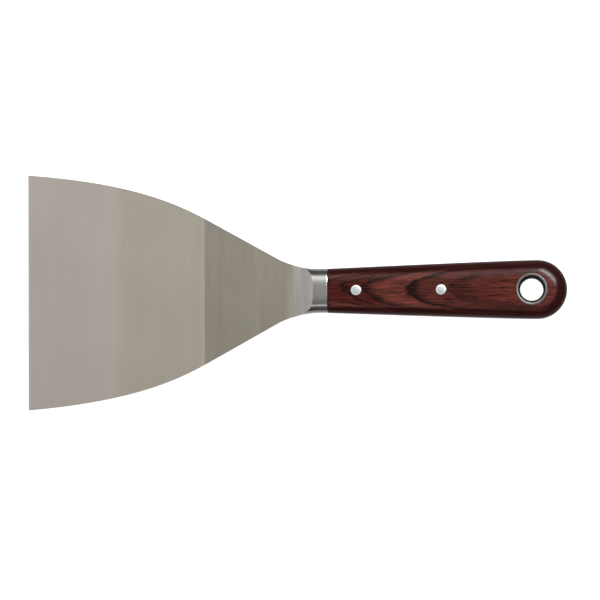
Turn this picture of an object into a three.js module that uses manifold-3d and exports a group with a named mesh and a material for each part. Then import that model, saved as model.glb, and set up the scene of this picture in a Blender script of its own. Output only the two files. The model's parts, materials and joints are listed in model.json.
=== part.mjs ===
// Forged bench scraper with a riveted, full-tang wooden handle.
//
// The tool is drawn in its own frame: X runs from the cutting edge to the butt, Y across the
// blade, and Z through its thickness, with z = 0 on the mid-plane of blade and tang. The finished
// group is then turned about Y so that it lies as the tool lies on a bench, on its cutting edge
// and on the underside of its bolster, with +Z up. Lengths are in millimetres.

import * as THREE from "three";
import { mergeVertices } from "three/addons/utils/BufferGeometryUtils.js";
import Module from "manifold-3d";

// Driving dimensions: the blade.
const EDGE_WIDTH = 114.3; // 4.5 in of cutting edge
const EDGE_THICKNESS = 0.9;
const GRIND_END = 85.9; // where the thinned part of the blade meets the neck
const GRIND_END_THICKNESS = 2.5;
const PLUNGE_LENGTH = 1.6; // short step from the thinned blade up to the neck
const NECK_THICKNESS = 3.2;
const CORNER_SPLAY = THREE.MathUtils.degToRad(4.6); // how far the sides lean in at the corners
const SHOULDER = new THREE.Vector2(92, 32.1); // where the curved side turns into a straight taper
const TAPER_ANGLE = THREE.MathUtils.degToRad(29.2);
const CORNER_PULL = 57; // reach of the side curve's control points from its two ends
const SHOULDER_PULL = 17;

// Driving dimensions: the bolster.
const NECK_FILLET_RADIUS = 42;
const WAIST_HALF_WIDTH = 10.65;
const RAMP_START = 123.5; // the neck starts to sweep up into the bolster
const RAMP_RADIUS = 22;
const BOLSTER_BACK = 145.7; // the face that the wood butts against
const BOLSTER_HALF_THICKNESS = 7.5;

// Driving dimensions: the handle.
const BUTT_RADIUS = 14.2;
const BUTT_CENTRE = 247.1;
const FLANK_CONTROL = 234; // the flank widens at an even rate up to about here, then eases
const HANDLE_SWELL = 1.2; // extra half-thickness of the handle over the bolster
const SWELL_PEAK = 0.75; // where it is thickest, as a share of the way to the butt's centre
const FLANK_HALF_HEIGHT = 1.8; // upright part of the flank, which holds the tang's edge
const CROWN_POWER = 2.9; // 2 is an ellipse, more is flatter with tighter shoulders
const TANG_THICKNESS = NECK_THICKNESS;
const FIT_GAP = 0.3; // between pieces that touch on the real tool

// Driving dimensions: the rivets and the lined hole.
const RIVET_POSITIONS = { front: 159.5, rear: 200.5 };
const RIVET_HEAD_RADIUS = 2.6;
const RIVET_HEAD_HEIGHT = 1.6;
const RIVET_HEAD_CHAMFER = 0.3;
const RIVET_TUBE_RADIUS = 2.1;
const RIVET_BORE_RADIUS = 1.55;
const RIVET_SHANK_RADIUS = 1.3;
const RIVET_CLEARANCE = 0.2;
const HANG_HOLE = 244.2;
const LINER_BORE_RADIUS = 5.65;
const LINER_WALL = 0.8;
const LINER_FLARE_RADIUS = 1.5; // bend of the bore where it opens out at each face
const LINER_RIM_RADIUS = 7.7;
const LINER_RIM_PROUD = 0.15; // how far the rim stands above the wood's crown
const LINER_CLEARANCE = 0.25;

// How finely curves are split.
const ROUND_SEGMENTS = 32;
const HOLE_SEGMENTS = 40;
const SECTION_STEPS = 10; // steps over a quarter of the handle's section
const OUTLINE_STEPS = 240;
const CURVE_STEPS = 24; // steps along each curve of the plan outline
const RAMP_STEPS = 12;
const BODY_STEPS = 30; // sections along the handle
const BUTT_STEPS = 12;
const FLARE_STEPS = 4;

const EDGE_HALF = EDGE_WIDTH / 2;
const OVERALL_LENGTH = BUTT_CENTRE + BUTT_RADIUS;
const BEYOND = 20; // how far a cutting shape runs past what it cuts
const ENVELOPE_START = RAMP_START - 5; // the handle's shape is taken up well inside the neck
const OVERLAP = 2; // how far shapes that are joined run into each other

const wasm = await Module();
wasm.setup();

// A closed three.js geometry as a solid that can be joined and cut.
function solid(geometry) {
  const bare = geometry.clone();
  bare.deleteAttribute("normal");
  bare.deleteAttribute("uv");
  const merged = mergeVertices(bare, 1e-4);
  return new wasm.Manifold(
    new wasm.Mesh({
      numProp: 3,
      vertProperties: merged.attributes.position.array,
      triVerts: new Uint32Array(merged.index.array),
    }),
  );
}

// A solid as a three.js geometry.
function geometryOf(made) {
  const mesh = made.getMesh();
  const geometry = new THREE.BufferGeometry();
  geometry.setAttribute("position", new THREE.BufferAttribute(mesh.vertProperties, 3));
  geometry.setIndex(new THREE.BufferAttribute(mesh.triVerts, 1));
  geometry.computeVertexNormals();
  return geometry;
}

// One side of the plan outline, from the corner of the cutting edge round to the tip of the butt.
function sideOutline() {
  const along = new THREE.Vector2(Math.cos(TAPER_ANGLE), -Math.sin(TAPER_ANGLE));
  const cornerControl = new THREE.Vector2(
    CORNER_PULL * Math.cos(CORNER_SPLAY),
    EDGE_HALF - CORNER_PULL * Math.sin(CORNER_SPLAY),
  );
  const shoulderControl = SHOULDER.clone().addScaledVector(along, -SHOULDER_PULL);
  const taperMeetsWaist = SHOULDER.x + (SHOULDER.y - WAIST_HALF_WIDTH) / Math.tan(TAPER_ANGLE);
  const filletEnd = taperMeetsWaist + NECK_FILLET_RADIUS * Math.tan(TAPER_ANGLE / 2);

  const path = new THREE.Path();
  path.moveTo(0, EDGE_HALF);
  path.bezierCurveTo(...cornerControl, ...shoulderControl, ...SHOULDER);
  path.absarc(
    filletEnd,
    WAIST_HALF_WIDTH + NECK_FILLET_RADIUS,
    NECK_FILLET_RADIUS,
    -Math.PI / 2 - TAPER_ANGLE,
    -Math.PI / 2,
    false,
  );
  path.lineTo(BOLSTER_BACK, WAIST_HALF_WIDTH);
  path.quadraticCurveTo(FLANK_CONTROL, BUTT_RADIUS, BUTT_CENTRE, BUTT_RADIUS);
  path.absarc(BUTT_CENTRE, 0, BUTT_RADIUS, Math.PI / 2, 0, true);
  return path;
}

const OUTLINE = sideOutline().getSpacedPoints(OUTLINE_STEPS);

// Half-width of the tool at x, read off the outline.
function halfWidth(x) {
  const after = OUTLINE.findIndex((point) => point.x >= x);
  if (after <= 0) return after < 0 ? 0 : OUTLINE[0].y;
  const [a, b] = [OUTLINE[after - 1], OUTLINE[after]];
  return THREE.MathUtils.lerp(a.y, b.y, (x - a.x) / (b.x - a.x));
}

// Half-thickness of bolster and handle along the middle of the tool.
function halfThickness(x) {
  const share = Math.max(0, (x - BOLSTER_BACK) / (BUTT_CENTRE - BOLSTER_BACK));
  return BOLSTER_HALF_THICKNESS + (HANDLE_SWELL * (1 - Math.cos((Math.PI * share) / SWELL_PEAK))) / 2;
}

// Height of the crowned handle at (x, y). Past the butt's centre it rounds off in every direction.
function crownHeight(x, y) {
  const out =
    x <= BUTT_CENTRE ? Math.abs(y) / halfWidth(x) : Math.hypot(x - BUTT_CENTRE, y) / BUTT_RADIUS;
  const rise = halfThickness(x) - FLANK_HALF_HEIGHT;
  const fall = Math.max(0, 1 - Math.min(1, out) ** CROWN_POWER);
  return FLANK_HALF_HEIGHT + rise * fall ** (1 / CROWN_POWER);
}

// A closed skin over a row of section loops, each a list of points with the same count.
function loft(loops) {
  const count = loops[0].length;
  const positions = loops.flat().flatMap((point) => point.toArray());
  const middle = (loop) =>
    loop.reduce((sum, point) => sum.add(point), new THREE.Vector3()).divideScalar(count);
  const firstCap = positions.length / 3;
  positions.push(...middle(loops[0]).toArray(), ...middle(loops.at(-1)).toArray());
  const index = [];
  for (let i = 0; i < loops.length - 1; i += 1) {
    for (let j = 0; j < count; j += 1) {
      const next = (j + 1) % count;
      const [a, b] = [i * count + j, i * count + next];
      index.push(a, b, a + count, b, b + count, a + count);
    }
  }
  const last = (loops.length - 1) * count;
  for (let j = 0; j < count; j += 1) {
    const next = (j + 1) % count;
    index.push(firstCap, next, j);
    index.push(firstCap + 1, last + j, last + next);
  }
  const geometry = new THREE.BufferGeometry();
  geometry.setAttribute("position", new THREE.Float32BufferAttribute(positions, 3));
  geometry.setIndex(index);
  return geometry;
}

// The outer shape that bolster and handle share, as a solid from x = from to the butt.
function handleEnvelope(from) {
  const stations = [];
  for (let i = 0; i <= BODY_STEPS; i += 1) {
    stations.push(THREE.MathUtils.lerp(from, BUTT_CENTRE, i / BODY_STEPS));
  }
  for (let i = 1; i < BUTT_STEPS; i += 1) {
    stations.push(BUTT_CENTRE + BUTT_RADIUS * Math.sin((i / BUTT_STEPS) * (Math.PI / 2)));
  }
  return solid(loft(stations.map(sectionLoop)));
}

// One closed section of the envelope at x, counter-clockwise as seen from the butt.
function sectionLoop(x) {
  const width = halfWidth(x);
  const quarter = [];
  for (let i = 0; i <= SECTION_STEPS; i += 1) {
    const angle = (i / SECTION_STEPS) * (Math.PI / 2);
    const y = width * Math.cos(angle) ** (2 / CROWN_POWER);
    quarter.push([y, crownHeight(x, y)]);
  }
  const upper = [...quarter, ...quarter.slice(0, -1).reverse().map(([y, z]) => [-y, z])];
  const lower = upper.map(([y, z]) => [-y, -z]);
  return [...upper, ...lower].map(([y, z]) => new THREE.Vector3(x, y, z));
}

// A flat shape in plan, thickened evenly about the mid-plane.
function plate(shape, halfHeight) {
  const geometry = new THREE.ExtrudeGeometry(shape, {
    depth: 2 * halfHeight,
    bevelEnabled: false,
    curveSegments: 1,
  });
  geometry.translate(0, 0, -halfHeight);
  return solid(geometry);
}

// The tool's side profile (drawn in X and Z) swept across the whole width of the blade.
function profileSlab(shape) {
  const geometry = new THREE.ExtrudeGeometry(shape, {
    depth: EDGE_WIDTH + 2 * BEYOND,
    bevelEnabled: false,
    curveSegments: RAMP_STEPS,
  });
  geometry.rotateX(Math.PI / 2);
  geometry.translate(0, EDGE_HALF + BEYOND, 0);
  return solid(geometry);
}

// A box between two corners.
function block(low, high) {
  const size = new THREE.Vector3().subVectors(high, low);
  const geometry = new THREE.BoxGeometry(size.x, size.y, size.z);
  geometry.translate(...low.clone().add(high).divideScalar(2));
  return solid(geometry);
}

// A round bar along Z through (x, 0), from z = low to z = high.
function bar(x, radius, low, high, segments = ROUND_SEGMENTS) {
  const geometry = new THREE.CylinderGeometry(radius, radius, high - low, segments);
  geometry.rotateX(Math.PI / 2);
  geometry.translate(x, 0, (low + high) / 2);
  return solid(geometry);
}

// The whole plan outline as a shape.
function planShape() {
  const side = sideOutline().getPoints(CURVE_STEPS);
  const other = side
    .slice(0, -1)
    .reverse()
    .map((point) => new THREE.Vector2(point.x, -point.y));
  return new THREE.Shape([...side, ...other]);
}

// Side profile of the forging: a thinned blade, a flat neck, a concave ramp up into the bolster,
// and the tang behind it. The bolster is drawn too tall here and is rounded by the envelope.
function forgingProfile() {
  const tall = BOLSTER_HALF_THICKNESS + OVERLAP;
  const neck = NECK_THICKNESS / 2;
  const rampTurn = Math.acos(1 - (tall - neck) / RAMP_RADIUS);
  const shape = new THREE.Shape();
  shape.moveTo(0, -EDGE_THICKNESS / 2);
  shape.lineTo(0, EDGE_THICKNESS / 2);
  shape.lineTo(GRIND_END - PLUNGE_LENGTH, GRIND_END_THICKNESS / 2);
  shape.lineTo(GRIND_END, neck);
  shape.absarc(RAMP_START, neck + RAMP_RADIUS, RAMP_RADIUS, -Math.PI / 2, -Math.PI / 2 + rampTurn);
  shape.lineTo(BOLSTER_BACK, tall);
  shape.lineTo(BOLSTER_BACK, TANG_THICKNESS / 2);
  shape.lineTo(OVERALL_LENGTH + BEYOND, TANG_THICKNESS / 2);
  shape.lineTo(OVERALL_LENGTH + BEYOND, -TANG_THICKNESS / 2);
  shape.lineTo(BOLSTER_BACK, -TANG_THICKNESS / 2);
  shape.lineTo(BOLSTER_BACK, -tall);
  shape.absarc(
    RAMP_START,
    -neck - RAMP_RADIUS,
    RAMP_RADIUS,
    Math.PI / 2 - rampTurn,
    Math.PI / 2,
  );
  shape.lineTo(GRIND_END, -neck);
  shape.lineTo(GRIND_END - PLUNGE_LENGTH, -GRIND_END_THICKNESS / 2);
  shape.closePath();
  return shape;
}

const envelope = handleEnvelope(ENVELOPE_START);

// Blade, neck, bolster and tang in one piece, drilled for the rivets and the liner.
function bladeForging() {
  const bladeZone = block(
    new THREE.Vector3(-BEYOND, -EDGE_WIDTH, -NECK_THICKNESS),
    new THREE.Vector3(ENVELOPE_START + OVERLAP, EDGE_WIDTH, NECK_THICKNESS),
  );
  const tall = BOLSTER_HALF_THICKNESS + BEYOND;
  let made = plate(planShape(), tall)
    .intersect(profileSlab(forgingProfile()))
    .intersect(envelope.add(bladeZone));
  for (const x of Object.values(RIVET_POSITIONS)) {
    made = made.subtract(bar(x, RIVET_TUBE_RADIUS + RIVET_CLEARANCE, -BEYOND, BEYOND));
  }
  const linerHole = LINER_BORE_RADIUS + LINER_WALL + LINER_CLEARANCE;
  return made.subtract(bar(HANG_HOLE, linerHole, -BEYOND, BEYOND, HOLE_SEGMENTS));
}

// Height of the underside of a rivet's head above the mid-plane.
function rivetSeat(x) {
  return crownHeight(x, 0) - RIVET_HEAD_HEIGHT;
}

// Height of the liner's rim above the mid-plane.
const rimHeight = crownHeight(HANG_HOLE, 0) + LINER_RIM_PROUD;
const rimSeat = rimHeight - LINER_FLARE_RADIUS - LINER_WALL;

// The upper half of the handle, drilled and counterbored.
function upperScale() {
  const slab = block(
    new THREE.Vector3(BOLSTER_BACK + FIT_GAP, -EDGE_WIDTH, TANG_THICKNESS / 2 + FIT_GAP),
    new THREE.Vector3(OVERALL_LENGTH + BEYOND, EDGE_WIDTH, BEYOND),
  );
  let made = envelope.intersect(slab);
  for (const x of Object.values(RIVET_POSITIONS)) {
    const seat = rivetSeat(x) - FIT_GAP;
    made = made.subtract(bar(x, RIVET_TUBE_RADIUS + RIVET_CLEARANCE, -BEYOND, BEYOND));
    made = made.subtract(bar(x, RIVET_HEAD_RADIUS + RIVET_CLEARANCE, seat, BEYOND));
  }
  const linerHole = LINER_BORE_RADIUS + LINER_WALL + LINER_CLEARANCE;
  const rimHole = LINER_RIM_RADIUS + LINER_CLEARANCE;
  made = made.subtract(bar(HANG_HOLE, linerHole, -BEYOND, BEYOND, HOLE_SEGMENTS));
  return made.subtract(bar(HANG_HOLE, rimHole, rimSeat - FIT_GAP, BEYOND, HOLE_SEGMENTS));
}

// A lathe of (radius, height) pairs about Z.
function turned(profile, segments) {
  const points = profile.map(([radius, height]) => new THREE.Vector2(radius, height));
  const geometry = new THREE.LatheGeometry(points, segments);
  geometry.rotateX(Math.PI / 2);
  return solid(geometry);
}

// Tubular rivet half: a head at the top and a bored shank that runs down to z = end.
function femaleRivet(seat, end) {
  const top = seat + RIVET_HEAD_HEIGHT;
  return turned(
    [
      [0, seat],
      [RIVET_BORE_RADIUS, seat],
      [RIVET_BORE_RADIUS, end],
      [RIVET_TUBE_RADIUS, end],
      [RIVET_TUBE_RADIUS, seat],
      [RIVET_HEAD_RADIUS, seat],
      [RIVET_HEAD_RADIUS, top - RIVET_HEAD_CHAMFER],
      [RIVET_HEAD_RADIUS - RIVET_HEAD_CHAMFER, top],
      [0, top],
    ],
    ROUND_SEGMENTS,
  );
}

// Solid rivet half: a head and a shank that runs down to z = end.
function maleRivet(seat, end) {
  const top = seat + RIVET_HEAD_HEIGHT;
  return turned(
    [
      [0, end],
      [RIVET_SHANK_RADIUS, end],
      [RIVET_SHANK_RADIUS, seat],
      [RIVET_HEAD_RADIUS, seat],
      [RIVET_HEAD_RADIUS, top - RIVET_HEAD_CHAMFER],
      [RIVET_HEAD_RADIUS - RIVET_HEAD_CHAMFER, top],
      [0, top],
    ],
    ROUND_SEGMENTS,
  );
}

// Profile of the liner's upper half, listed up the bore, over the rim and back down outside.
function linerHalfProfile() {
  const bendCentre = rimHeight - LINER_FLARE_RADIUS;
  const points = [];
  for (let i = 0; i <= FLARE_STEPS; i += 1) {
    const angle = (i / FLARE_STEPS) * (Math.PI / 2);
    points.push([
      LINER_BORE_RADIUS + LINER_FLARE_RADIUS * (1 - Math.cos(angle)),
      bendCentre + LINER_FLARE_RADIUS * Math.sin(angle),
    ]);
  }
  const lip = LINER_WALL / 2;
  points.push([LINER_RIM_RADIUS - lip / 2, rimHeight - lip / 2]);
  points.push([LINER_RIM_RADIUS, rimHeight - lip]);
  points.push([LINER_RIM_RADIUS, rimHeight - LINER_WALL]);
  points.push([LINER_BORE_RADIUS + LINER_WALL + lip, rimHeight - LINER_WALL]);
  points.push([LINER_BORE_RADIUS + LINER_WALL, bendCentre]);
  return points;
}

// The tube that lines the hanging hole, flared over the wood at both ends.
function hangHoleLiner() {
  const upper = linerHalfProfile().reverse();
  const lower = upper.map(([radius, height]) => [radius, -height]).reverse();
  const loop = [...upper, ...lower];
  return turned([...loop, loop[0]], HOLE_SEGMENTS);
}

// A piece turned over to the other side of the tool.
function flipped(geometry) {
  return geometry.clone().rotateX(Math.PI);
}

const steel = { metalness: 1, roughness: 0.45, color: 0xa9a49b };
const wood = { metalness: 0, roughness: 0.3, color: 0x5a2420 };
const polished = { metalness: 1, roughness: 0.2, color: 0xd8d8d4 };

function piece(name, geometry, look) {
  const mesh = new THREE.Mesh(geometry, new THREE.MeshStandardMaterial(look));
  mesh.name = name;
  return mesh;
}

const tool = new THREE.Group();
tool.add(piece("blade_forging", geometryOf(bladeForging()), steel));

const scale = geometryOf(upperScale());
tool.add(piece("upper_scale", scale, wood));
tool.add(piece("lower_scale", flipped(scale), wood));

for (const [place, x] of Object.entries(RIVET_POSITIONS)) {
  const seat = rivetSeat(x);
  const female = piece(
    `${place}_rivet_female`,
    geometryOf(femaleRivet(seat, -seat + FIT_GAP)),
    polished,
  );
  const male = piece(
    `${place}_rivet_male`,
    flipped(geometryOf(maleRivet(seat, -seat + FIT_GAP))),
    polished,
  );
  female.position.x = x;
  male.position.x = x;
  tool.add(female, male);
}

const liner = piece("hang_hole_liner", geometryOf(hangHoleLiner()), polished);
liner.position.x = HANG_HOLE;
tool.add(liner);

// Lay the tool down: the lower corner of the edge and the bolster's underside touch z = 0.
function restingTilt() {
  let tilt = 0;
  const rampCrest = RAMP_START + rampReach(BOLSTER_HALF_THICKNESS);
  for (let x = rampCrest; x < OVERALL_LENGTH; x += 1) {
    tilt = Math.max(tilt, Math.atan((crownHeight(x, 0) - EDGE_THICKNESS / 2) / x));
  }
  return tilt;
}

// How far along the ramp the forging has grown to a given half-thickness.
function rampReach(height) {
  const climb = height - NECK_THICKNESS / 2;
  return Math.sqrt(RAMP_RADIUS ** 2 - (RAMP_RADIUS - climb) ** 2);
}

const tilt = restingTilt();
tool.rotation.y = -tilt;

const part = new THREE.Group();
part.add(tool);
part.updateMatrixWorld(true);
const box = new THREE.Box3().setFromObject(part, true);
tool.position.set(-(box.min.x + box.max.x) / 2, 0, -box.min.z);

export default part;
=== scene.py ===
"""Looks for the forged bench scraper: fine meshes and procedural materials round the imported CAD.

Shapes are worked out in the tool's own frame, in millimetres: X from the cutting edge to the butt,
Y across the blade, Z through its thickness with z = 0 on the mid-plane. TOOL says where that frame
lies in the row frame: the tool rests on its cutting edge and its bolster, so it leans a little.
"""

import json
import math

import bmesh
import bpy
from mathutils import Matrix, Vector


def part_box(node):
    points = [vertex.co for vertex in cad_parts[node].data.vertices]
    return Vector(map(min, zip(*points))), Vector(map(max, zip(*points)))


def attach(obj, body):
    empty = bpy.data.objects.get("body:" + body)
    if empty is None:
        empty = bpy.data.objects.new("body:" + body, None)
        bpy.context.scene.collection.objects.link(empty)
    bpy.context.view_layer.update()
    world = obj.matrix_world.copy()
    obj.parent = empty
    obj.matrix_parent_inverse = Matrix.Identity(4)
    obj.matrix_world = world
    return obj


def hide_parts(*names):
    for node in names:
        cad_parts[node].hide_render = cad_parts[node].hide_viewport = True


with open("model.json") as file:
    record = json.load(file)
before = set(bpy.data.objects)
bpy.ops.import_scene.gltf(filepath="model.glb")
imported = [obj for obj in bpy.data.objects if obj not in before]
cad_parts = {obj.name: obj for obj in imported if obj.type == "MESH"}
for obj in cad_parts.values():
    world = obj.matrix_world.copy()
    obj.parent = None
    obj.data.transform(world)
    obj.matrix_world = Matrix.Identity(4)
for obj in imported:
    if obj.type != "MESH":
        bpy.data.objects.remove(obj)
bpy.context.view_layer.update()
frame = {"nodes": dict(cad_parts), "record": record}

MM = 0.001

# Blade and neck, as on the CAD forging.
EDGE_HALF_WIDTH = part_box("blade_forging")[1].y / MM
EDGE_THICKNESS = 0.9
GRIND_END = 85.9
GRIND_END_THICKNESS = 2.5
PLUNGE_LENGTH = 1.6
TAPER_END = GRIND_END - PLUNGE_LENGTH
NECK_THICKNESS = 3.2
CORNER_SPLAY = math.radians(4.6)
SHOULDER_X, SHOULDER_Y = 92, 32.1
TAPER_ANGLE = math.radians(29.2)
CORNER_PULL = 57
SHOULDER_PULL = 17

# Bolster.
NECK_FILLET_RADIUS = 42
WAIST_HALF_WIDTH = 10.65
RAMP_START = 123.5
RAMP_RADIUS = 22
BOLSTER_BACK = 145.7
BOLSTER_HALF_THICKNESS = 7.5
CREASE_SOFTNESS = 0.05  # how far the polishing wheel has rounded the ramp's edge
EASING_LENGTH = 0.8  # the bolster's back edge is rounded over this length, down to this depth
EASING_DEPTH = 0.2

# Handle.
BUTT_RADIUS = 14.2
BUTT_CENTRE = 247.1
FLANK_CONTROL = 234
HANDLE_SWELL = 1.2
SWELL_PEAK = 0.75
FLANK_HALF_HEIGHT = 1.8
CROWN_POWER = 2.9
TANG_HALF = NECK_THICKNESS / 2
BOND = 0.04  # the glue line between steel and wood, and the play round every rivet

# Rivets and liner, whose places and outer sizes are read from the CAD.
RIVET_HEAD_HEIGHT = 1.6
RIVET_HEAD_CHAMFER = 0.32
RIVET_TUBE_RADIUS = 2.1
RIVET_BORE_RADIUS = 1.4
RIVET_DOME = 0.12
RIVET_SUNK = 0.02  # how far the rubbed face lies below the wood's crown
LINER_BORE = 5.65
LINER_WALL = 0.8
LINER_FLARE_RADIUS = 1.5
LINER_FILLET = 0.1

# Veneers of the laminated wood, counted up from the one that starts the pile.
VENEER_LEAN = 0.03  # they fall this much for each millimetre along the handle
VENEER_BOW = 0.0025  # and rise across it by this times y squared
PILE_START = 6.56
LOWER_VENEERS = [0.56] * 10  # these only show on the shoulders
TOP_VENEERS = [0.41, 1.03, 1.16, 1.75]  # these show on top, from the bolster to the butt
UPPER_VENEERS = [0.62] * 6
PALE_VENEER = len(LOWER_VENEERS) + 1
GLUE_FADE = 0.42  # the share of a veneer that its glue line darkens, and darkens fully
GLUE_SOLID = 0.06

# Heights, less the handle's swell, between which the lacquer's shoulder gloss and the sides'
# painted shade fade in on the way down.
SHOULDER_GLOSS = (7.45, 7.1)
PAINTED_SIDE_SHADE = (6.9, 6.3)

NECK_TONE = (0.440, 0.403, 0.341, 1)  # the neck's, and the bolster's sides' where they meet it

# Fineness of the meshes.
SHARP_ANGLE = math.radians(35)
CROWN_COLUMNS = 22
TURNED_SEGMENTS = 96
BEYOND = 20  # cutting tools reach this far past the tool's mid-plane


# ---------------------------------------------------------------- where the CAD is


def resting_tilt():
    """How far the tool leans. The blade's two faces lean equally off its mid-plane."""
    axes = {mount["name"]: Vector(mount["axis"]) for mount in frame["record"]["mounts"]}
    normal = axes["blade_upper_face"] - axes["blade_lower_face"]
    return math.atan2(-normal.x, normal.z)


TILT = resting_tilt()
TURN = Matrix.Rotation(-TILT, 4, "Y")


def tool_matrix():
    """From the tool's frame to the row frame.

    The CAD's foremost point is the upper corner of the cutting edge, and its lowest the lower one.
    """
    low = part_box("blade_forging")[0]
    half_edge = EDGE_THICKNESS / 2 * MM
    origin = (low.x + half_edge * math.sin(TILT), 0, low.z + half_edge * math.cos(TILT))
    return Matrix.Translation(origin) @ TURN


TOOL = tool_matrix()


def tool_box(node):
    """Lowest and highest corner of a CAD node in the tool's frame, in millimetres."""
    back = TOOL.inverted()
    points = [back @ vertex.co / MM for vertex in frame["nodes"][node].data.vertices]
    low = Vector([min(point[i] for point in points) for i in range(3)])
    high = Vector([max(point[i] for point in points) for i in range(3)])
    return low, high


def middle_and_radius(node):
    """Place along the tool, and outer radius, of a turned CAD node."""
    low, high = tool_box(node)
    return (low.x + high.x) / 2, (high.y - low.y) / 2


FRONT_RIVET_X, RIVET_HEAD_RADIUS = middle_and_radius("front_rivet_female")
REAR_RIVET_X = middle_and_radius("rear_rivet_female")[0]
LINER_X, RIM_RADIUS = middle_and_radius("hang_hole_liner")
RIM_TOP = tool_box("hang_hole_liner")[1].z
RIM_SEAT = RIM_TOP - LINER_FLARE_RADIUS - LINER_WALL


# ---------------------------------------------------------------- shape formulas


def bezier(points, t):
    """A point of the Bezier curve with these control points."""
    while len(points) > 1:
        points = [
            ((1 - t) * a[0] + t * b[0], (1 - t) * a[1] + t * b[1])
            for a, b in zip(points, points[1:])
        ]
    return points[0]


def crossing(low, high, is_before):
    """Where a condition that holds at low stops holding on the way to high, by halving."""
    for _ in range(40):
        middle = (low + high) / 2
        if is_before(middle):
            low = middle
        else:
            high = middle
    return low


def height_at(control_points, x):
    """Height at x of a Bezier curve that runs steadily along X."""
    t = crossing(0.0, 1.0, lambda t: bezier(control_points, t)[0] < x)
    return bezier(control_points, t)[1]


BLADE_SIDE = [
    (0, EDGE_HALF_WIDTH),
    (CORNER_PULL * math.cos(CORNER_SPLAY), EDGE_HALF_WIDTH - CORNER_PULL * math.sin(CORNER_SPLAY)),
    (
        SHOULDER_X - SHOULDER_PULL * math.cos(TAPER_ANGLE),
        SHOULDER_Y + SHOULDER_PULL * math.sin(TAPER_ANGLE),
    ),
    (SHOULDER_X, SHOULDER_Y),
]
HANDLE_FLANK = [
    (BOLSTER_BACK, WAIST_HALF_WIDTH),
    (FLANK_CONTROL, BUTT_RADIUS),
    (BUTT_CENTRE, BUTT_RADIUS),
]
TAPER_MEETS_WAIST = SHOULDER_X + (SHOULDER_Y - WAIST_HALF_WIDTH) / math.tan(TAPER_ANGLE)
FILLET_END = TAPER_MEETS_WAIST + NECK_FILLET_RADIUS * math.tan(TAPER_ANGLE / 2)
FILLET_START = FILLET_END - NECK_FILLET_RADIUS * math.sin(TAPER_ANGLE)


def half_width(x):
    """Half-width of the tool at x, from the cutting edge to the butt's centre."""
    if x <= SHOULDER_X:
        return height_at(BLADE_SIDE, x)
    if x <= FILLET_START:
        return SHOULDER_Y - (x - SHOULDER_X) * math.tan(TAPER_ANGLE)
    if x <= FILLET_END:
        drop = math.sqrt(NECK_FILLET_RADIUS**2 - (FILLET_END - x) ** 2)
        return WAIST_HALF_WIDTH + NECK_FILLET_RADIUS - drop
    if x <= BOLSTER_BACK:
        return WAIST_HALF_WIDTH
    return height_at(HANDLE_FLANK, min(x, BUTT_CENTRE))


def half_thickness(x):
    """Half-thickness of bolster and handle along the middle of the tool."""
    share = max(0.0, (x - BOLSTER_BACK) / (BUTT_CENTRE - BOLSTER_BACK))
    return BOLSTER_HALF_THICKNESS + HANDLE_SWELL * (1 - math.cos(math.pi * share / SWELL_PEAK)) / 2


def crown_height(x, out):
    """Height of the crown at x, where out goes from 0 on the middle line to 1 at the flank."""
    rise = half_thickness(x) - FLANK_HALF_HEIGHT
    fall = max(0.0, 1 - min(1.0, out) ** CROWN_POWER)
    return FLANK_HALF_HEIGHT + rise * fall ** (1 / CROWN_POWER)


def blade_height(x):
    """Half-thickness of blade, neck and ramp, before the bolster's rounding."""
    neck = NECK_THICKNESS / 2
    if x <= TAPER_END:
        return (EDGE_THICKNESS + (GRIND_END_THICKNESS - EDGE_THICKNESS) * x / TAPER_END) / 2
    if x <= GRIND_END:
        share = (x - TAPER_END) / PLUNGE_LENGTH
        eased = share * share * (3 - 2 * share)
        return GRIND_END_THICKNESS / 2 + (neck - GRIND_END_THICKNESS / 2) * eased
    if x <= RAMP_START:
        return neck
    along = min(x - RAMP_START, RAMP_RADIUS * 0.999)
    return neck + RAMP_RADIUS - math.sqrt(RAMP_RADIUS**2 - along**2)


def crease_x(out):
    """Where the ramp meets the bolster's crown, at a share out of the half-width."""
    return crossing(RAMP_START, BOLSTER_BACK, lambda x: blade_height(x) < crown_height(x, out))


def top_height(x, out):
    """Upper surface of the forging: the lower of ramp and crown, with their meeting rounded."""
    ramp = blade_height(x)
    if x < RAMP_START:
        return ramp
    crown = crown_height(x, out)
    gap = abs(ramp - crown)
    rounding = CREASE_SOFTNESS * math.log1p(math.exp(-gap / CREASE_SOFTNESS))
    eased = max(0.0, 1 - (BOLSTER_BACK - x) / EASING_LENGTH)
    drop = EASING_DEPTH * (1 - math.sqrt(1 - min(eased, 0.99) ** 2))
    return min(ramp, crown) - rounding - drop


def crown_shares():
    """Shares of the half-width at which the crown is sampled, closer together on its shoulder."""
    steps = [math.cos(math.pi / 2 * i / CROWN_COLUMNS) for i in range(CROWN_COLUMNS)]
    return [step ** (2 / CROWN_POWER) for step in steps] + [0.0]


SHARES = crown_shares()


def spread(start, end, count):
    """count values from start up to, but not including, end."""
    return [start + (end - start) * i / count for i in range(count)]


def arc(centre, radius, start, end, steps):
    """Points of an arc round centre, from one angle to another in degrees."""
    turns = [math.radians(start + (end - start) * i / steps) for i in range(steps + 1)]
    return [(centre[0] + radius * math.cos(t), centre[1] + radius * math.sin(t)) for t in turns]


# ---------------------------------------------------------------- mesh helpers


def shade(mesh, sharp=SHARP_ANGLE):
    """Smooth shading that stays crisp across edges sharper than an angle."""
    mesh.shade_smooth()
    mesh.set_sharp_from_angle(angle=sharp)


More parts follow.
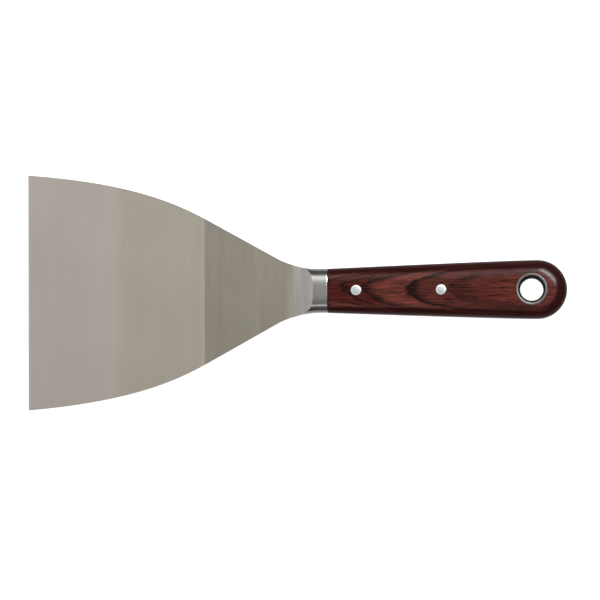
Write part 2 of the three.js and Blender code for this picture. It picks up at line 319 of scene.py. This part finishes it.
def finish_mesh(name, work, material, sharp=SHARP_ANGLE, x=0.0):
    """Turns a bmesh in millimetres into an object with its origin at x on the tool's middle line.

    The mesh takes the tool's lean, so that the object's own axes stay those of the row frame.
    """
    bmesh.ops.remove_doubles(work, verts=work.verts, dist=1e-4)
    bmesh.ops.dissolve_degenerate(work, edges=work.edges, dist=1e-5)
    bmesh.ops.recalc_face_normals(work, faces=work.faces)
    bmesh.ops.transform(work, matrix=TURN @ Matrix.Scale(MM, 4), verts=work.verts)
    mesh = bpy.data.meshes.new(name)
    work.to_mesh(mesh)
    work.free()
    shade(mesh, sharp)
    piece = bpy.data.objects.new(name, mesh)
    bpy.context.scene.collection.objects.link(piece)
    piece.location = TOOL @ Vector((x * MM, 0, 0))
    if material:
        mesh.materials.append(material)
    return piece


def turn_over(piece):
    """Moves a piece from the upper side of the tool to the same place on its underside."""
    piece.data.transform(TURN @ Matrix.Rotation(math.pi, 4, "X") @ TURN.inverted())


def apply_modifiers(piece):
    """Replaces a piece's mesh by what its modifiers make of it."""
    graph = bpy.context.evaluated_depsgraph_get()
    made = bpy.data.meshes.new_from_object(piece.evaluated_get(graph))
    piece.modifiers.clear()
    piece.data = made


def cut(piece, tools):
    """Cuts other objects out of a piece and removes them."""
    for tool in tools:
        modifier = piece.modifiers.new("cut", "BOOLEAN")
        modifier.operation = "DIFFERENCE"
        modifier.solver = "EXACT"
        modifier.object = tool
    apply_modifiers(piece)
    for tool in tools:
        bpy.data.objects.remove(tool)


def soften_edges(piece, width):
    """Rounds a piece's crisp edges slightly, as grinding and polishing leave them."""
    modifier = piece.modifiers.new("soften", "BEVEL")
    modifier.width = width * MM
    modifier.segments = 2
    modifier.limit_method = "ANGLE"
    modifier.angle_limit = math.radians(40)
    modifier.harden_normals = False
    apply_modifiers(piece)


def quads(work, rows, closed=False):
    """Faces between neighbouring rows of vertices, all of one length."""
    for above, below in zip(rows, rows[1:]):
        count = len(above)
        for i in range(count if closed else count - 1):
            j = (i + 1) % count
            corners = list(dict.fromkeys([above[i], above[j], below[j], below[i]]))
            if len(corners) > 2:
                work.faces.new(corners)


def turned(name, profile, x, material, sharp=SHARP_ANGLE):
    """A solid of revolution about the tool-frame Z axis through (x, 0), from (radius, height)s."""
    work = bmesh.new()
    turns = [2 * math.pi * i / TURNED_SEGMENTS for i in range(TURNED_SEGMENTS)]
    rows = []
    for radius, height in profile:
        if radius < 1e-6:
            rows.append([work.verts.new((0, 0, height))] * TURNED_SEGMENTS)
        else:
            ring = [(radius * math.cos(turn), radius * math.sin(turn), height) for turn in turns]
            rows.append([work.verts.new(point) for point in ring])
    quads(work, rows, closed=True)
    return finish_mesh(name, work, material, sharp, x)


def bar(x, radius, low=-BEYOND):
    """A round cutting tool through the handle at x, from low up past the top."""
    profile = [(0, low), (radius, low), (radius, BEYOND), (0, BEYOND)]
    return turned("cutter", profile, x, None)


def shank_holes():
    """Cutting tools for the holes that the rivets' shanks and the liner's tube pass through."""
    rivets = [bar(x, RIVET_TUBE_RADIUS + BOND) for x in (FRONT_RIVET_X, REAR_RIVET_X)]
    return rivets + [bar(LINER_X, LINER_BORE + LINER_WALL + BOND)]


# ---------------------------------------------------------------- forging


def front_stations(out):
    """X positions of the forging's mesh rows up to the bolster's back, for one share."""
    crease = crease_x(out)
    crease_zone = 0.4
    stretches = [
        (1.5, TAPER_END, 26),
        (TAPER_END, GRIND_END, 4),
        (GRIND_END, RAMP_START - 3, 12),
        (RAMP_START - 3, crease - crease_zone, 22),
        (crease - crease_zone, crease + crease_zone, 10),
        (crease + crease_zone, BOLSTER_BACK - EASING_LENGTH, 8),
        (BOLSTER_BACK - EASING_LENGTH, BOLSTER_BACK, 10),
    ]
    inner = [x for start, end, count in stretches for x in spread(start, end, count)]
    return [0.0] + inner + [BOLSTER_BACK]


def mirrored_shares():
    """(share, side) pairs from the -Y flank across to the +Y flank."""
    left = [(share, -1) for share in SHARES]
    right = [(share, 1) for share in reversed(SHARES[:-1])]
    return left + right


def forging(materials):
    """Blade, neck, bolster and full tang as one closed mesh."""
    columns = []
    for share, side in mirrored_shares():
        out = side * share
        column = [(x, out * half_width(x), top_height(x, share)) for x in front_stations(share)]
        column.append((BOLSTER_BACK, out * WAIST_HALF_WIDTH, TANG_HALF))
        columns.append(column)
    work = bmesh.new()
    upper = [[work.verts.new(point) for point in column] for column in columns]
    lower = [[work.verts.new((x, y, -z)) for x, y, z in column] for column in columns]
    quads(work, upper)
    quads(work, lower)
    quads(work, [upper[0], lower[0]])
    quads(work, [upper[-1], lower[-1]])
    quads(work, [[column[0] for column in upper], [column[0] for column in lower]])
    handle_skin(work, lambda x, share: TANG_HALF, lambda x, share: -TANG_HALF, front_face=False)
    piece = finish_mesh("forging", work, None)
    soften_edges(piece, 0.1)
    cut(piece, shank_holes())
    dress_forging(piece.data, materials)
    return piece


def dress_forging(mesh, materials):
    """Gives each zone of the forging its finish: blade, neck, bolster and tang, in that order."""
    mesh.materials.clear()
    for material in materials:
        mesh.materials.append(material)
    back = TURN.inverted()
    for face in mesh.polygons:
        centre = back @ face.center / MM
        across = abs(centre.y) / half_width(centre.x)
        zone_ends = (GRIND_END, crease_x(across), BOLSTER_BACK)
        face.material_index = sum(centre.x > end for end in zone_ends)
    shade(mesh)


# ---------------------------------------------------------------- handle


def handle_rails():
    """(axis point, outline point) pairs round the handle, from its +Y front corner to its -Y."""
    body = spread(BOLSTER_BACK, BUTT_CENTRE, 56)
    butt = arc((BUTT_CENTRE, 0), BUTT_RADIUS, 90, -90, 44)
    rails = [((x, 0), (x, half_width(x))) for x in body]
    rails += [((BUTT_CENTRE, 0), tip) for tip in butt]
    rails += [((x, 0), (x, -half_width(x))) for x in reversed(body)]
    return rails


def handle_skin(work, top, bottom, front_face=True, front=BOLSTER_BACK):
    """Closed skin over the handle's outline between two heights, each a function of x and share."""
    rails = handle_rails()
    upper, lower = [], []
    for height, rows in ((top, upper), (bottom, lower)):
        for share in SHARES:
            row = []
            for axis, outline in rails:
                x = max(front, axis[0] + (outline[0] - axis[0]) * share)
                row.append(work.verts.new((x, outline[1] * share, height(x, share))))
            rows.append(row)
        quads(work, rows)
    quads(work, [upper[0], lower[0]])
    if front_face:
        for end in (0, -1):
            quads(work, [[row[end] for row in upper], [row[end] for row in lower]])


def handle_scale(name, material, under):
    """One wooden half of the handle. The lower one is the same piece turned over."""
    work = bmesh.new()
    handle_skin(work, crown_height, lambda x, share: TANG_HALF + BOND, front=BOLSTER_BACK + BOND)
    piece = finish_mesh(name, work, material)
    holes = shank_holes()
    for x in (FRONT_RIVET_X, REAR_RIVET_X):
        seat = crown_height(x, 0) - RIVET_HEAD_HEIGHT - BOND
        holes.append(bar(x, RIVET_HEAD_RADIUS + BOND, seat))
    holes.append(bar(LINER_X, RIM_RADIUS + BOND, RIM_SEAT - BOND))
    cut(piece, holes)
    soften_edges(piece, 0.08)
    shade(piece.data)
    if under:
        turn_over(piece)
    return piece


# ---------------------------------------------------------------- rivets and liner


def rivet_head(top):
    """The rim and face of a rivet's head: a rounded polished shoulder and a faintly domed face."""
    corner_centre = (
        RIVET_HEAD_RADIUS - RIVET_HEAD_CHAMFER,
        top - RIVET_HEAD_CHAMFER - RIVET_DOME,
    )
    corner = arc(corner_centre, RIVET_HEAD_CHAMFER, 0, 75, 8)
    edge = corner[-1][0]
    radii = [edge * (1 - i / 8) for i in range(1, 9)]
    return corner + [(radius, top - RIVET_DOME * (radius / edge) ** 2) for radius in radii]


def rivet_half(name, x, material, tube):
    """A rivet half: the tube's from above, or the solid pin's, turned over, from below."""
    top = crown_height(x, 0) - RIVET_SUNK
    seat = top - RIVET_HEAD_HEIGHT
    end = BOND - seat
    if tube:
        shank = [(0, seat), (RIVET_BORE_RADIUS, seat), (RIVET_BORE_RADIUS, end)]
        shank += [(RIVET_TUBE_RADIUS, end), (RIVET_TUBE_RADIUS, seat)]
    else:
        pin = RIVET_BORE_RADIUS - BOND
        shank = [(0, end), (pin, end), (pin, seat)]
    profile = shank + [(RIVET_HEAD_RADIUS, seat)] + rivet_head(top)
    piece = turned(name, profile, x, material)
    if not tube:
        turn_over(piece)
    return piece


def hole_liner(material):
    """The steel tube through the butt, with both ends flared into a rolled rim."""
    lip = LINER_WALL / 2
    flare_centre = (LINER_BORE + LINER_FLARE_RADIUS, RIM_TOP - LINER_FLARE_RADIUS)
    flare = arc(flare_centre, LINER_FLARE_RADIUS, 180, 95, 14)
    rim = arc((RIM_RADIUS - lip, RIM_TOP - lip), lip, 90, -60, 12)
    outside = [
        (LINER_BORE + LINER_WALL + lip, RIM_TOP - LINER_WALL - LINER_FILLET),
        (LINER_BORE + LINER_WALL, RIM_SEAT + LINER_FILLET),
    ]
    upper = flare + rim + outside
    lower = [(radius, -height) for radius, height in reversed(upper)]
    profile = upper + lower + upper[:1]
    return turned("hole_liner", profile, LINER_X, material, sharp=math.radians(50))


# ---------------------------------------------------------------- node trees


class Tree:
    """A node tree, with short calls for adding nodes and joining them."""

    def __init__(self, tree):
        self.tree = tree

    def add(self, kind, **settings):
        node = self.tree.nodes.new("ShaderNode" + kind)
        for key, value in settings.items():
            setattr(node, key, value)
        return node

    def join(self, source, target):
        self.tree.links.new(source, target)

    def fill(self, socket, value):
        """Puts a number, a colour or another node's output into a socket."""
        if isinstance(value, bpy.types.NodeSocket):
            self.join(value, socket)
        else:
            socket.default_value = value

    def math(self, operation, a, b=0.0, c=0.0):
        node = self.add("Math", operation=operation)
        for socket, value in zip(node.inputs, (a, b, c)):
            self.fill(socket, value)
        return node.outputs[0]

    def split(self, vector):
        """The X, Y and Z of a vector."""
        node = self.add("SeparateXYZ")
        self.join(vector, node.inputs[0])
        return node.outputs

    def remap(self, value, low, high, to_low=0.0, to_high=1.0, smooth=False):
        """A value moved from one range to another, and held inside it."""
        node = self.add("MapRange", interpolation_type="SMOOTHSTEP" if smooth else "LINEAR")
        self.join(value, node.inputs["Value"])
        node.inputs["From Min"].default_value = low
        node.inputs["From Max"].default_value = high
        node.inputs["To Min"].default_value = to_low
        node.inputs["To Max"].default_value = to_high
        return node.outputs[0]

    def grey(self, value):
        """A grey colour from a single value."""
        node = self.add("CombineColor")
        for socket in node.inputs:
            self.join(value, socket)
        return node.outputs[0]


class Material(Tree):
    """A material with one Principled shader."""

    def __init__(self, name):
        self.material = bpy.data.materials.new(name)
        self.material.use_nodes = True
        super().__init__(self.material.node_tree)
        self.shader = self.tree.nodes["Principled BSDF"]

    def place(self):
        """Place on the piece in millimetres, along the tool's own axes."""
        node = self.add("Mapping")
        self.join(self.add("TexCoord").outputs["Object"], node.inputs["Vector"])
        node.inputs["Scale"].default_value = (1 / MM, 1 / MM, 1 / MM)
        node.inputs["Rotation"].default_value = (0, TILT, 0)
        return node.outputs[0]

    def stretched(self, vector, per_mm, offset=(0, 0, 0)):
        """The place with each axis multiplied: cycles per millimetre along X, Y and Z."""
        node = self.add("Mapping")
        self.join(vector, node.inputs["Vector"])
        node.inputs["Scale"].default_value = per_mm
        node.inputs["Location"].default_value = offset
        return node.outputs[0]

    def slanted(self, vector, degrees):
        """The place turned about Z."""
        node = self.add("Mapping")
        self.join(vector, node.inputs["Vector"])
        node.inputs["Rotation"].default_value = (0, 0, math.radians(degrees))
        return node.outputs[0]

    def noise(self, vector, detail=3.0, roughness=0.5):
        node = self.add("TexNoise")
        self.join(vector, node.inputs["Vector"])
        node.inputs["Scale"].default_value = 1.0
        node.inputs["Detail"].default_value = detail
        node.inputs["Roughness"].default_value = roughness
        return node.outputs["Fac"]

    def ramp(self, value, stops):
        """A colour ramp of (position, (r, g, b)) stops."""
        node = self.add("ValToRGB")
        elements = node.color_ramp.elements
        while len(elements) < len(stops):
            elements.new(0.5)
        for element, (position, colour) in zip(elements, stops):
            element.position = position
            element.color = (*colour, 1)
        self.join(value, node.inputs[0])
        return node.outputs[0]

    def mix(self, share, a, b, blend="MIX"):
        """Colour a turned into colour b by a share."""
        node = self.add("Mix", data_type="RGBA", blend_type=blend)
        factor, colour_a, colour_b = node.inputs[0], node.inputs[6], node.inputs[7]
        self.fill(factor, share)
        self.fill(colour_a, a)
        self.fill(colour_b, b)
        return node.outputs[2]

    def tinted(self, colour, level):
        """A colour made lighter or darker by a level."""
        return self.mix(1.0, colour, self.grey(level), "MULTIPLY")

    def bump(self, height, distance_mm):
        node = self.add("Bump")
        node.inputs["Strength"].default_value = 1.0
        node.inputs["Distance"].default_value = distance_mm * MM
        self.join(height, node.inputs["Height"])
        return node.outputs[0]

    def surface(self, **sockets):
        """Sets the shader's sockets, named with underscores for spaces. Returns the material."""
        for key, value in sockets.items():
            self.fill(self.shader.inputs[key.replace("_", " ")], value)
        return self.material


# ---------------------------------------------------------------- steel


def ground_steel(name, tones, contrast, roughness, line_depth, pitch):
    """Belt-ground stainless steel. The grinding lines run across the tool, along Y."""
    n = Material(name)
    place = n.place()
    fine = n.noise(n.stretched(place, (1 / pitch, 0.035, 0.035)), detail=5, roughness=0.65)
    broad = n.noise(n.stretched(place, (0.22, 0.02, 0.02), (40, 3, 0)), detail=2)
    clouds = n.noise(n.stretched(place, (0.03, 0.03, 0.03), (7, 1, 0)), detail=3)
    lines = n.math("ADD", n.math("MULTIPLY", fine, 0.7), n.math("MULTIPLY", broad, 0.3))
    level = n.remap(lines, 0.3, 0.7, 1 - contrast, 1 + contrast)
    level = n.math("MULTIPLY", level, n.remap(clouds, 0.3, 0.7, 0.97, 1.03))
    return n.surface(
        Base_Color=n.tinted(tones(n, place), level),
        Metallic=1.0,
        Roughness=n.remap(fine, 0.25, 0.75, roughness + 0.06, roughness - 0.06),
        Normal=n.bump(fine, line_depth),
    )


def blade_tones(n, place):
    """The thinned blade: a paler front, a warmer middle and a pale strip at the grind line."""
    middle_start = 44
    wander = n.noise(n.stretched(place, (0.02, 0.02, 0.02), (5, 8, 0)), detail=1)
    along = n.math("ADD", n.split(place)["X"], n.remap(wander, 0.3, 0.7, -1.2, 1.2))
    middle = n.remap(along, middle_start - 4, middle_start + 4, smooth=True)
    strip = n.remap(along, GRIND_END - 8, GRIND_END - 4, smooth=True)
    blade = n.mix(middle, (0.625, 0.573, 0.514, 1), (0.565, 0.519, 0.439, 1))
    return n.mix(strip, blade, (0.556, 0.509, 0.433, 1))


def neck_tones(n, place):
    """The neck's coarser, darker grind, and a painted highlight that makes the ramp up into the
    bolster lighter.
    """
    # Painted highlight: the ramp is coloured lighter where its upward curve faces the light.
    ramp = n.remap(n.split(place)["X"], RAMP_START + 3, RAMP_START + 9, smooth=True)
    return n.mix(ramp, NECK_TONE, (0.56, 0.53, 0.50, 1))


def bolster_tones(n, place):
    """The polished top of the bolster, and sides painted darker as shade, starting from the neck's
    tone.
    """
    x, y, _ = n.split(place)
    side_start, side_end = WAIST_HALF_WIDTH * 0.84, WAIST_HALF_WIDTH * 0.9
    side = n.remap(n.math("ABSOLUTE", y), side_start, side_end, smooth=True)
    back = n.remap(x, RAMP_START, RAMP_START + 11, smooth=True)
    # Painted shade: the bolster's sides go from the neck's tone to dark grey, standing in for the
    # shaded table they reflect.
    painted_side_shade = n.mix(back, NECK_TONE, (0.135, 0.13, 0.125, 1))
    return n.mix(side, (0.64, 0.625, 0.59, 1), painted_side_shade)


def tang_tones(n, place):
    """One plain tone for the edge of the tang."""
    return (0.30, 0.29, 0.275, 1)


def forging_steels():
    """The forging's finishes, from the cutting edge to the tang."""
    return [
        ground_steel("blade_satin", blade_tones, 0.05, 0.40, 0.002, pitch=0.35),
        ground_steel("neck_ground", neck_tones, 0.2, 0.36, 0.006, pitch=0.6),
        ground_steel("bolster_polished", bolster_tones, 0.14, 0.20, 0.002, pitch=0.6),
        ground_steel("tang_edge", tang_tones, 0.2, 0.34, 0.004, pitch=0.35),
    ]


# ---------------------------------------------------------------- wood


def swell_of(n, x):
    """How much thicker the handle is at x than at the bolster, as in half_thickness()."""
    turn = n.remap(x, BOLSTER_BACK, BUTT_CENTRE, 0.0, math.pi / SWELL_PEAK)
    return n.math("MULTIPLY", n.math("SUBTRACT", 1.0, n.math("COSINE", turn)), HANDLE_SWELL / 2)


def veneer_number(n, depth):
    """How many veneers lie below a depth in the pile, with fractions."""
    depths = [PILE_START]
    for thickness in LOWER_VENEERS + TOP_VENEERS + UPPER_VENEERS:
        depths.append(depths[-1] + thickness)
    count = len(depths) - 1
    low, high = depths[0], depths[-1]
    first_top, first_upper = len(LOWER_VENEERS), len(LOWER_VENEERS + TOP_VENEERS)
    knots = [0, *range(first_top, first_upper + 1), count]
    stops = [((depths[k] - low) / (high - low), (k / count,) * 3) for k in knots]
    return n.math("MULTIPLY", n.ramp(n.remap(depth, low, high), stops), count)


def pile_depth(n, place, fibre, seed):
    """Depth through the veneers, which lean along the handle, bow across it and wander."""
    x, y, z = n.split(place)
    wander = n.noise(n.stretched(place, (0.03, 0.14, 0.14), (3, seed, 9)), detail=2)
    depth = n.math("MULTIPLY_ADD", x, VENEER_LEAN, n.math("ABSOLUTE", z))
    depth = n.math("ADD", depth, n.math("MULTIPLY", n.math("MULTIPLY", y, y), -VENEER_BOW))
    depth = n.math("ADD", depth, n.remap(wander, 0.3, 0.7, -0.16, 0.16))
    return n.math("ADD", depth, n.remap(fibre, 0.3, 0.7, -0.09, 0.09))


def dyed_veneers(n, layer, seed):
    """Each veneer took the dye a little differently, and two of the thick ones stand out."""
    dye = n.add("TexWhiteNoise", noise_dimensions="1D")
    n.join(n.math("ADD", layer, 0.37 + seed), dye.inputs["W"])
    body = n.ramp(
        dye.outputs["Value"],
        [
            (0.0, (0.095, 0.013, 0.009)),
            (0.35, (0.130, 0.021, 0.015)),
            (0.7, (0.180, 0.040, 0.029)),
            (1.0, (0.150, 0.039, 0.032)),
        ],
    )
    pale = n.math("COMPARE", layer, PALE_VENEER, 0.5)
    dull = n.math("COMPARE", layer, PALE_VENEER + 1, 0.5)
    body = n.mix(pale, body, (0.205, 0.049, 0.036, 1))
    return n.mix(dull, body, (0.135, 0.031, 0.024, 1))


def glue_share(n, layer, within, fibres):
    """How dark a glue line is: sharp where one veneer ends, fading into the next one up."""
    fade = n.remap(within, GLUE_FADE, GLUE_SOLID, smooth=True)
    sharp_side = n.remap(within, 0.95, 1.0, smooth=True)
    glue = n.math("MAXIMUM", fade, sharp_side)
    glue = n.math("MULTIPLY", glue, n.remap(fibres, 0.35, 0.65, 1.15, 0.75))
    thin_glue = n.math("COMPARE", layer, PALE_VENEER + 2, 0.5)
    return n.math("MULTIPLY", glue, n.remap(thin_glue, 0.0, 1.0, 1.0, 0.6))


def laminated_wood(name, seed):
    """Dyed, resin-bonded veneers that the crown cuts at a shallow angle, under clear lacquer."""
    n = Material(name)
    place = n.place()
    x, _, z = n.split(place)

    # Fibres run along the handle and are short and broken.
    fibre = n.noise(n.stretched(place, (0.08, 1.2, 1.2), (0, 0, seed)), detail=5, roughness=0.7)
    hair = n.noise(n.stretched(place, (0.22, 4.5, 4.5), (2, 2, seed)), detail=3, roughness=0.6)
    fibres = n.math("ADD", n.math("MULTIPLY", fibre, 0.6), n.math("MULTIPLY", hair, 0.4))

    ply = veneer_number(n, pile_depth(n, place, fibre, seed))
    layer = n.math("FLOOR", ply)
    streaked = n.tinted(dyed_veneers(n, layer, seed), n.remap(fibres, 0.37, 0.63, 0.10, 1.38))
    glue = glue_share(n, layer, n.math("FRACT", ply), fibres)
    colour = n.mix(glue, streaked, (0.012, 0.004, 0.0035, 1))

    # The sides are painted darker down their slope as shade, and the seam against the bolster holds
    # dark glue with painted shade in the gap.
    level = n.math("SUBTRACT", n.math("ABSOLUTE", z), swell_of(n, x))
    # Painted shade: below these heights the wood's sides are darkened.
    side = n.remap(level, *PAINTED_SIDE_SHADE, smooth=True)
    colour = n.mix(n.math("MULTIPLY", side, 0.84), colour, (0.022, 0.003, 0.003, 1))
    # Dark glue in the seam, with painted shade where the gap meets the bolster.
    seam_glue_and_shade = n.remap(x, BOLSTER_BACK + 0.7, BOLSTER_BACK + 0.3, smooth=True)
    colour = n.mix(n.math("MULTIPLY", seam_glue_and_shade, 0.85), colour, (0.008, 0.003, 0.003, 1))

    # Hands have rubbed the lacquer dull on top; it is still glossy on the shoulders.
    gloss = n.remap(level, *SHOULDER_GLOSS, 0.1, 0.6)
    return n.surface(
        Base_Color=colour,
        Roughness=n.remap(fibres, 0.3, 0.7, 0.6, 0.5),
        Specular_IOR_Level=0.05,
        Normal=n.bump(fibres, 0.02),
        Coat_Weight=n.math("MULTIPLY", gloss, n.remap(side, 0.0, 1.0, 1.0, 0.2)),
        Coat_Roughness=0.16,
        Coat_IOR=1.5,
    )


# ---------------------------------------------------------------- rivet and liner metal


def radius_of(n, place):
    """Distance from a turned piece's own axis."""
    x, y, _ = n.split(place)
    return n.math("SQRT", n.math("ADD", n.math("MULTIPLY", x, x), n.math("MULTIPLY", y, y)))


def rivet_metal():
    """Soft bright metal, rubbed flush in one slanting direction inside a polished rim, whose
    lighter colour is partly a painted highlight of its rounded edge.
    """
    n = Material("rivet_metal")
    place = n.place()
    rubbed = n.noise(n.stretched(n.slanted(place, 40), (0.5, 5, 5)), detail=4, roughness=0.6)
    face = n.mix(n.remap(rubbed, 0.35, 0.65), (0.60, 0.62, 0.64, 1), (0.84, 0.85, 0.86, 1))
    # The rim's near-white colour is a polished finish and partly a painted highlight of the head's
    # rounded edge.
    rim_start, rim_end = RIVET_HEAD_RADIUS * 0.66, RIVET_HEAD_RADIUS * 0.74
    rim = n.remap(radius_of(n, place), rim_start, rim_end, smooth=True)
    return n.surface(
        Base_Color=n.mix(rim, face, (0.96, 0.96, 0.95, 1)),
        Metallic=1.0,
        Roughness=n.remap(rubbed, 0.3, 0.7, 0.5, 0.38),
        Normal=n.bump(rubbed, 0.01),
    )


def liner_steel():
    """Polished rim, rubbed by the hooks it has hung from, and the tube inside painted near black
    and dull as shade.
    """
    n = Material("liner_steel")
    place = n.place()
    scuffs = n.noise(n.stretched(place, (1.0, 1.0, 0.4)), detail=4, roughness=0.6)
    worn = n.remap(scuffs, 0.35, 0.65)
    bright = n.mix(worn, (0.235, 0.23, 0.225, 1), (0.30, 0.295, 0.29, 1))
    # Painted shade: the bore is coloured near black where shade falls inside the tube.
    dark = n.mix(worn, (0.010, 0.010, 0.010, 1), (0.035, 0.034, 0.033, 1))
    rim_start, rim_end = LINER_BORE + 0.85, LINER_BORE + 1.15
    inside = n.remap(radius_of(n, place), rim_end, rim_start, smooth=True)
    rim_roughness = n.grey(n.remap(scuffs, 0.35, 0.65, 0.42, 0.34))
    return n.surface(
        Base_Color=n.mix(inside, bright, dark),
        Metallic=n.math("SUBTRACT", 1.0, inside),
        Specular_IOR_Level=0.1,
        Roughness=n.mix(inside, rim_roughness, (0.8, 0.8, 0.8, 1)),
    )


# ---------------------------------------------------------------- stage


def pale_table():
    """A large matt white table. Light scattered under it keeps the shadows faint."""
    side = 6.0
    corners = [(-side, -side, 0), (side, -side, 0), (side, side, 0), (-side, side, 0)]
    mesh = bpy.data.meshes.new("floor")
    mesh.from_pydata(corners, [], [(0, 1, 2, 3)])
    floor = bpy.data.objects.new("floor", mesh)
    bpy.context.scene.collection.objects.link(floor)
    n = Material("pale_table")
    mottling = n.remap(n.noise(n.stretched(n.place(), (0.02, 0.02, 0.02)), detail=3), 0.3, 0.7)
    table = n.surface(
        Base_Color=n.mix(mottling, (0.60, 0.60, 0.60, 1), (0.62, 0.62, 0.62, 1)),
        Roughness=0.9,
        Emission_Color=(1.0, 1.0, 1.0, 1),
        Emission_Strength=0.96,
    )
    mesh.materials.append(table)


class Sky(Tree):
    """The studio above the table, built up from soft patches of light in the world shader."""

    def __init__(self):
        world = bpy.data.worlds.new("studio")
        bpy.context.scene.world = world
        world.use_nodes = True
        super().__init__(world.node_tree)
        self.x, self.y, self.z = self.split(self.add("TexCoord").outputs["Generated"])
        self.total = 0.0

    def light(self, amount):
        """Adds an amount of light, which may depend on the direction."""
        self.total = self.math("ADD", amount, self.total)

    def band(self, middle, reach, level, half_length):
        """A soft strip along X whose middle leans from straight up towards +Y, in degrees."""
        lean = self.math("ARCTAN2", self.y, self.z)
        off = self.math("ABSOLUTE", self.math("SUBTRACT", lean, math.radians(middle)))
        across = self.remap(off, math.radians(reach), 0.0, 0.0, level, smooth=True)
        length = self.math("ABSOLUTE", self.x)
        along = self.remap(length, half_length, half_length * 0.6, smooth=True)
        self.light(self.math("MULTIPLY", across, along))

    def finish(self):
        self.join(self.grey(self.total), self.tree.nodes["Background"].inputs["Color"])


def studio_sky():
    """Dim all round, brighter overhead, with strips to both sides and a pale wall beyond -X."""
    sky = Sky()
    sky.light(0.06)
    sky.band(middle=8, reach=45, level=0.28, half_length=0.8)
    sky.band(middle=27, reach=18, level=0.85, half_length=0.6)
    sky.band(middle=-35, reach=9, level=0.8, half_length=0.6)
    sky.light(sky.remap(sky.x, -0.15, -0.5, 0.0, 0.5, smooth=True))
    sky.finish()


def key_light():
    """A wide softbox high up on the side of +X and +Y, which faces the tool."""
    azimuth, elevation = math.radians(41), math.radians(58)
    distance = 1.5
    width, height = 0.8, 0.32
    radiance = 13.5
    level = math.cos(elevation)
    towards = Vector((math.sin(azimuth) * level, math.cos(azimuth) * level, math.sin(elevation)))
    data = bpy.data.lights.new("key", "AREA")
    data.shape = "RECTANGLE"
    data.size, data.size_y = width, height
    data.energy = radiance * math.pi * width * height
    lamp = bpy.data.objects.new("key", data)
    bpy.context.scene.collection.objects.link(lamp)
    lamp.location = towards * distance
    lamp.rotation_mode = "QUATERNION"
    lamp.rotation_quaternion = towards.to_track_quat("Z", "Y")
    lamp.visible_camera = False


def camera():
    """A long lens nearly straight above, leaning slightly from the -Y side."""
    seen_width = 0.29065
    distance = 2.0
    lean = math.radians(2.4)
    roll = math.radians(0.24)
    target = TOOL @ (Vector((132.1, -4.3, 0)) * MM)
    back = Vector((0, -math.sin(lean), math.cos(lean)))
    data = bpy.data.cameras.new("camera")
    data.sensor_width = 36
    data.lens = data.sensor_width * distance / seen_width
    view = bpy.data.objects.new("camera", data)
    bpy.context.scene.collection.objects.link(view)
    upright = back.to_track_quat("Z", "Y")
    view.location = target + back * distance
    view.rotation_mode = "QUATERNION"
    view.rotation_quaternion = upright @ Matrix.Rotation(-roll, 4, "Z").to_quaternion()
    bpy.context.scene.camera = view


# ---------------------------------------------------------------- assembly


def place_piece(piece, node):
    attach(piece, "root")
    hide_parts(node)


def build():
    """Stage, light, camera and the eight pieces."""
    settings = bpy.context.scene.view_settings
    settings.view_transform = "Standard"
    settings.look = "None"
    camera()
    pale_table()
    studio_sky()
    key_light()

    place_piece(forging(forging_steels()), "blade_forging")
    for side, seed in (("upper", 0.0), ("lower", 0.45)):
        wood = laminated_wood(f"wood_{side}", seed)
        half = handle_scale(f"scale_{side}", wood, under=side == "lower")
        place_piece(half, f"{side}_scale")
    metal = rivet_metal()
    for end, x in (("front", FRONT_RIVET_X), ("rear", REAR_RIVET_X)):
        for kind in ("female", "male"):
            node = f"{end}_rivet_{kind}"
            rivet = rivet_half(f"{node}_fine", x, metal, tube=kind == "female")
            place_piece(rivet, node)
    place_piece(hole_liner(liner_steel()), "hang_hole_liner")


build()
